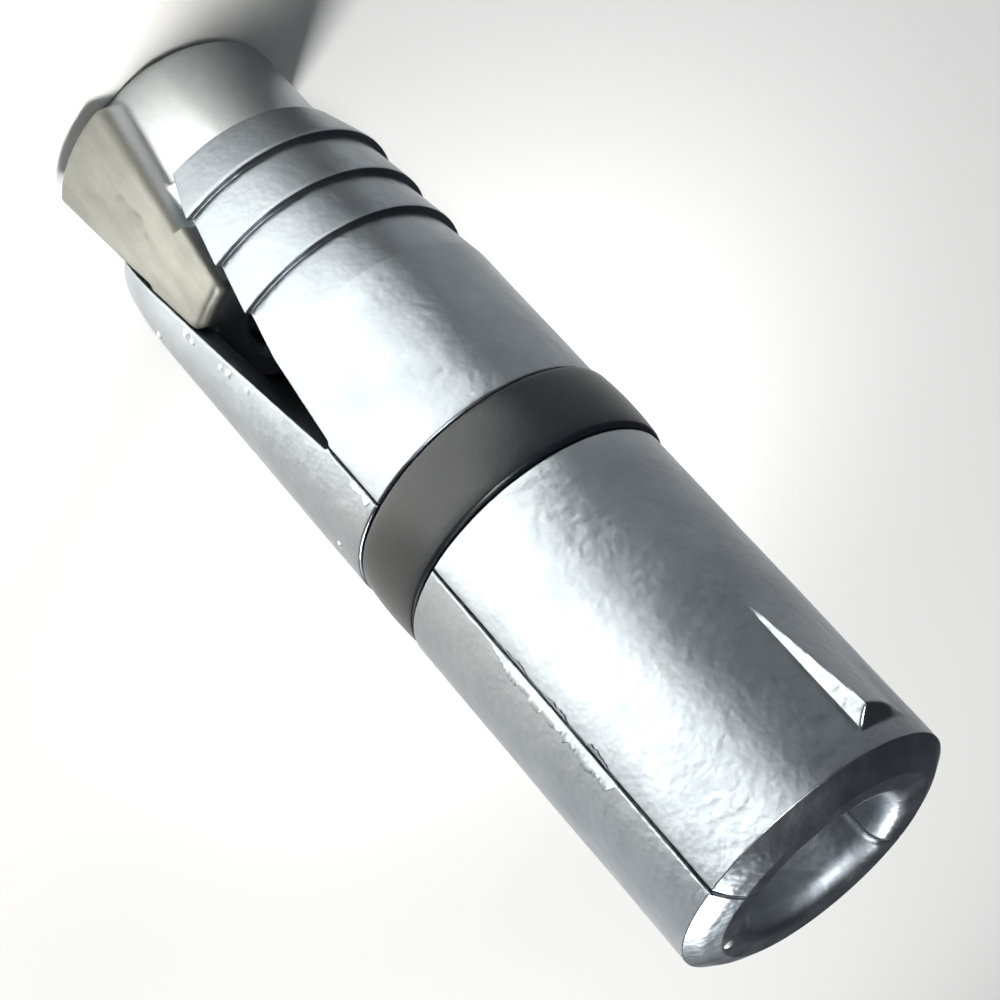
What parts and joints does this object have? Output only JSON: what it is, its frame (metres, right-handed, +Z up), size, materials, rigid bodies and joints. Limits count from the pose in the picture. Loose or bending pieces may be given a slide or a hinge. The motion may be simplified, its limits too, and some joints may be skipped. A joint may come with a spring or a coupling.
{
  "type": "expansion anchor",
  "caption": "Split metal expansion anchor: a cylindrical shield in halves held by a dark band, with a winged tapered nut that a bolt draws in to spread the far end.",
  "frame": {"origin": "on the bore axis in the plane of the mouth face, where the anchor meets the face of the wall", "axes": "+Z up along the bore axis out of the mouth, as the anchor stands on its nut; -X towards the middle of the ridged half"},
  "size_m": [0.0212, 0.0194, 0.0665],
  "materials": {
    "cast_shield": "bright as-cast zinc alloy",
    "cast_nut": "satin as-cast zinc alloy",
    "band": "satin"
  },
  "bodies": {
    "plain_half": {"plain_shield_half": "cast_shield", "retaining_band": "band"},
    "ridged_half": {"ridged_shield_half": "cast_shield"},
    "nut": {"expander_nut": "cast_nut"}
  },
  "joints": [
    {"name": "nut_draw", "type": "slide", "parent": "plain_half", "child": "nut", "axis": [-0.1495, 0, 0.9888], "range_m": [0, 0.007]},
    {"name": "half_opening", "type": "hinge", "parent": "plain_half", "child": "ridged_half", "pos_m": [0, 0, 0], "axis": [0, 1, 0], "range_deg": [0, 3], "deforming": ["retaining_band"]}
  ],
  "couplings": [
    {"joint": "half_opening", "follows": "nut_draw", "rad_per_m": 7.2}
  ]
}
